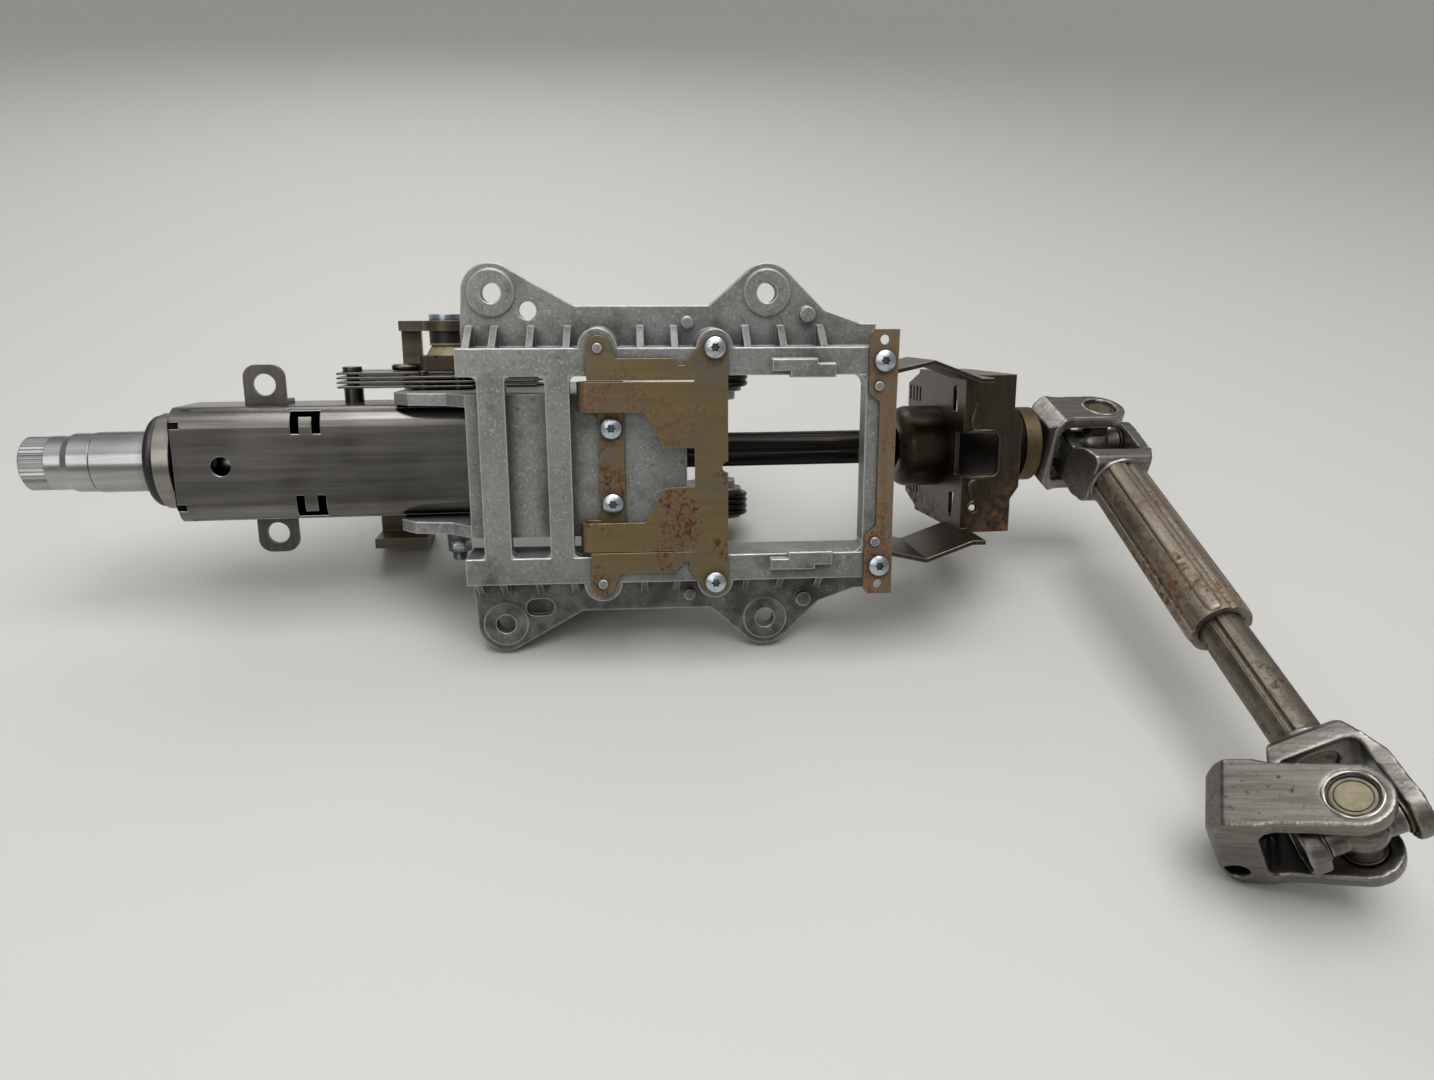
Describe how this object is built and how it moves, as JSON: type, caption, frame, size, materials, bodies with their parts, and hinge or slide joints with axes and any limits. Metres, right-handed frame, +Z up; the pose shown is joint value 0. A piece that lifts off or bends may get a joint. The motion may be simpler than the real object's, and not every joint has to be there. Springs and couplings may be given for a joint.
{
  "type": "steering column",
  "caption": "Car steering column with cast mounting bracket, reach and tilt clamp, folding crash plate and double universal-joint intermediate shaft.",
  "frame": {"origin": "middle of the bounding box's base, on the bench the column lies on", "axes": "+X from the steering wheel end towards the firewall, +Z up, -Y towards the side the bracket faces"},
  "size_m": [0.5514, 0.3135, 0.1674],
  "materials": {
    "cast_aluminium": "as cast, dusty, bright where rubbed",
    "yellow_zinc_plate": "dull yellow zinc with rust specks",
    "bright_zinc": "bright zinc",
    "rusty_strip": "surface rust",
    "black_steel": "black phosphate and grease",
    "lamella_steel": "rolled strip, satin",
    "pressed_steel": "dark oiled sheet with rust",
    "black_plastic": "moulded, matt",
    "yellow_zinc": "yellow zinc",
    "cam_bronze": "sintered, oiled",
    "bearing_steel": "ground and polished",
    "lever_steel": "olive zinc",
    "jacket_steel": "bare drawn tube, stained",
    "ground_steel": "ground bright",
    "black_rubber": "moulded",
    "forged_steel": "forged and phosphated, bright machined faces",
    "cup_steel": "yellowed zinc",
    "rusty_shaft": "bare steel with light rust"
  },
  "bodies": {
    "bracket": {"mounting_bracket": "cast_aluminium", "crash_plate": "yellow_zinc_plate", "plate_rivets": "cast_aluminium", "plate_screws": "bright_zinc", "end_strip": "rusty_strip", "crash_carriage": "cast_aluminium", "balance_springs": "black_steel", "tilt_lamellae": "lamella_steel", "lamella_anchor_pins": "lamella_steel", "pivot_bracket": "pressed_steel", "bearing_dome": "pressed_steel", "pivot_socket": "black_plastic", "guide_tube": "yellow_zinc"},
    "tilt_head": {"clamp_bolt": "bright_zinc", "clamp_nut": "bright_zinc", "thrust_plate": "lamella_steel", "fixed_cam": "cam_bronze", "pivot_ball": "bearing_steel"},
    "lever": {"lever_cam": "cam_bronze", "clamp_lever": "lever_steel"},
    "jacket": {"jacket_tube": "jacket_steel", "mounting_ears": "jacket_steel", "bearing_carrier": "cast_aluminium", "bearing_outer_rings": "bearing_steel", "bearing_balls": "bearing_steel", "reach_lamellae": "lamella_steel", "lamella_post": "lamella_steel"},
    "wheel_shaft": {"steering_shaft": "ground_steel", "shaft_seal": "black_rubber", "bearing_inner_rings": "bearing_steel"},
    "fluted_shaft": {"lower_shaft": "black_steel", "upper_yoke": "forged_steel", "upper_yoke_cups": "cup_steel"},
    "first_cross": {"upper_cross": "forged_steel"},
    "tube": {"tube_yoke": "forged_steel", "tube_yoke_cups": "cup_steel", "outer_tube": "rusty_shaft"},
    "inner": {"inner_shaft": "rusty_shaft", "inner_yoke": "forged_steel", "inner_yoke_cups": "cup_steel"},
    "second_cross": {"lower_cross": "forged_steel"},
    "pinion_yoke": {"clamp_yoke": "forged_steel", "clamp_yoke_cups": "cup_steel"}
  },
  "joints": [
    {"name": "tilt", "type": "hinge", "parent": "bracket", "child": "tilt_head", "pos_m": [0.14548, 0.08836, 0.06707], "axis": [0, 0.3697, 0.9291], "range_deg": [-3, 1.5]},
    {"name": "lever_swing", "type": "hinge", "parent": "tilt_head", "child": "lever", "pos_m": [-0.09049, 0.10361, 0.061], "axis": [0, 0.3697, 0.9291], "range_deg": [-50, 0]},
    {"name": "reach", "type": "slide", "parent": "tilt_head", "child": "jacket", "axis": [0.9981, 0.0575, -0.0229], "range_m": [-0.04, 0.012]},
    {"name": "steer", "type": "hinge", "parent": "jacket", "child": "wheel_shaft", "pos_m": [0.14548, 0.08836, 0.06707], "axis": [0.9981, 0.0575, -0.0229], "continuous": true},
    {"name": "telescope", "type": "slide", "parent": "wheel_shaft", "child": "fluted_shaft", "axis": [0.9981, 0.0575, -0.0229], "range_m": [-0.012, 0.04]},
    {"name": "upper_yaw", "type": "hinge", "parent": "fluted_shaft", "child": "first_cross", "pos_m": [0.24329, 0.09399, 0.06482], "axis": [0.0229, 0.0007, 0.9997], "range_deg": [0, 91]},
    {"name": "upper_pitch", "type": "hinge", "parent": "first_cross", "child": "tube", "pos_m": [0.24329, 0.09399, 0.06482], "axis": [0.9989, 0.0401, -0.0229], "range_deg": [-20.85, 9.15]},
    {"name": "shaft_slide", "type": "slide", "parent": "tube", "child": "inner", "axis": [0.0376, -0.9941, -0.1022], "range_m": [-0.03, 0.04]},
    {"name": "lower_pitch", "type": "hinge", "parent": "inner", "child": "second_cross", "pos_m": [0.25225, -0.14319, 0.04045], "axis": [0.8658, -0.0187, 0.5001], "range_deg": [-2.3, 8.7]},
    {"name": "lower_yaw", "type": "hinge", "parent": "second_cross", "child": "pinion_yoke", "pos_m": [0.25225, -0.14319, 0.04045], "axis": [-0.5004, -0.0516, 0.8643], "range_deg": [0, 116]}
  ],
  "couplings": [
    {"joint": "telescope", "follows": "reach", "ratio": -1}
  ]
}
